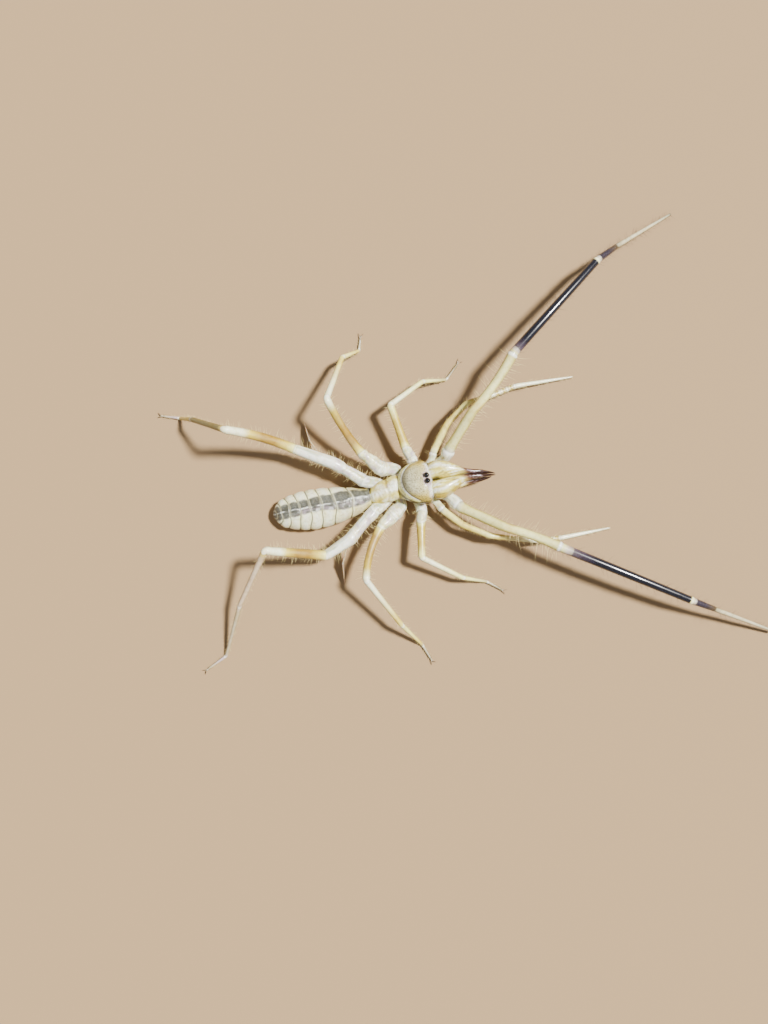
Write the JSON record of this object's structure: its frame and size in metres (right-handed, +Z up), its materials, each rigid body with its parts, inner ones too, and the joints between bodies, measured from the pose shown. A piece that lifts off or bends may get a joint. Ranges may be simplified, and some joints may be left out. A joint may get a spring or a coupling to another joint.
{
  "type": "camel spider",
  "caption": "Life-size still model of a pale desert camel spider: long grooved abdomen, domed head shield, dark-tipped jaws, walking legs and long palps held out in front",
  "frame": {"origin": "on the floor under the middle of the whole animal's box", "axes": "+X the way the head points, +Y the animal's left, +Z up; the body's middle line runs along X"},
  "size_m": [0.1218, 0.092, 0.0165],
  "materials": {
    "hide": "waxy cream hide with grey mottled back plates",
    "shield": "pale grey-beige plate with fine brown freckles",
    "jaw": "ivory with ochre patches, maroon towards the finger's tip",
    "jaw_finger": "glossy dark maroon-brown",
    "eye": "glossy black",
    "limb_white": "waxy white, slightly translucent",
    "limb_ochre": "waxy cream with an ochre stretch",
    "palp_black": "glossy blue-black with a pale ring at its end",
    "organ": "thin pinkish-grey fans",
    "foot": "pale grey-brown"
  },
  "bodies": {
    "root": {"abdomen": "hide", "thorax": "shield", "head_shield": "shield", "eye_left": "eye", "eye_right": "eye", "chelicera_left": "jaw", "chelicera_right": "jaw", "finger_left": "jaw_finger", "finger_right": "jaw_finger", "palp_left_base": "limb_white", "palp_left_patella": "limb_ochre", "palp_left_tibia": "palp_black", "palp_left_tarsus": "foot", "palp_right_base": "limb_white", "palp_right_patella": "limb_ochre", "palp_right_tibia": "palp_black", "palp_right_tarsus": "foot", "leg1_left_base": "limb_white", "leg1_left_patella": "limb_ochre", "leg1_left_tibia": "limb_white", "leg1_left_tarsus": "foot", "leg1_right_base": "limb_white", "leg1_right_patella": "limb_ochre", "leg1_right_tibia": "limb_white", "leg1_right_tarsus": "foot", "leg2_left_base": "limb_white", "leg2_left_patella": "limb_ochre", "leg2_left_tibia": "limb_white", "leg2_left_tarsus": "foot", "leg2_right_base": "limb_white", "leg2_right_patella": "limb_ochre", "leg2_right_tibia": "limb_white", "leg2_right_tarsus": "foot", "leg3_left_base": "limb_white", "leg3_left_patella": "limb_ochre", "leg3_left_tibia": "limb_white", "leg3_left_tarsus": "foot", "leg3_right_base": "limb_white", "leg3_right_patella": "limb_ochre", "leg3_right_tibia": "limb_white", "leg3_right_tarsus": "foot", "leg4_left_base": "limb_white", "leg4_left_patella": "limb_ochre", "leg4_left_tibia": "limb_white", "leg4_left_tarsus": "foot", "leg4_right_base": "limb_white", "leg4_right_patella": "limb_ochre", "leg4_right_tibia": "limb_white", "leg4_right_tarsus": "foot", "leg4_left_organ1": "organ", "leg4_left_organ2": "organ", "leg4_left_organ3": "organ", "leg4_left_organ4": "organ", "leg4_right_organ1": "organ", "leg4_right_organ2": "organ", "leg4_right_organ3": "organ", "leg4_right_organ4": "organ"}
  },
  "joints": []
}
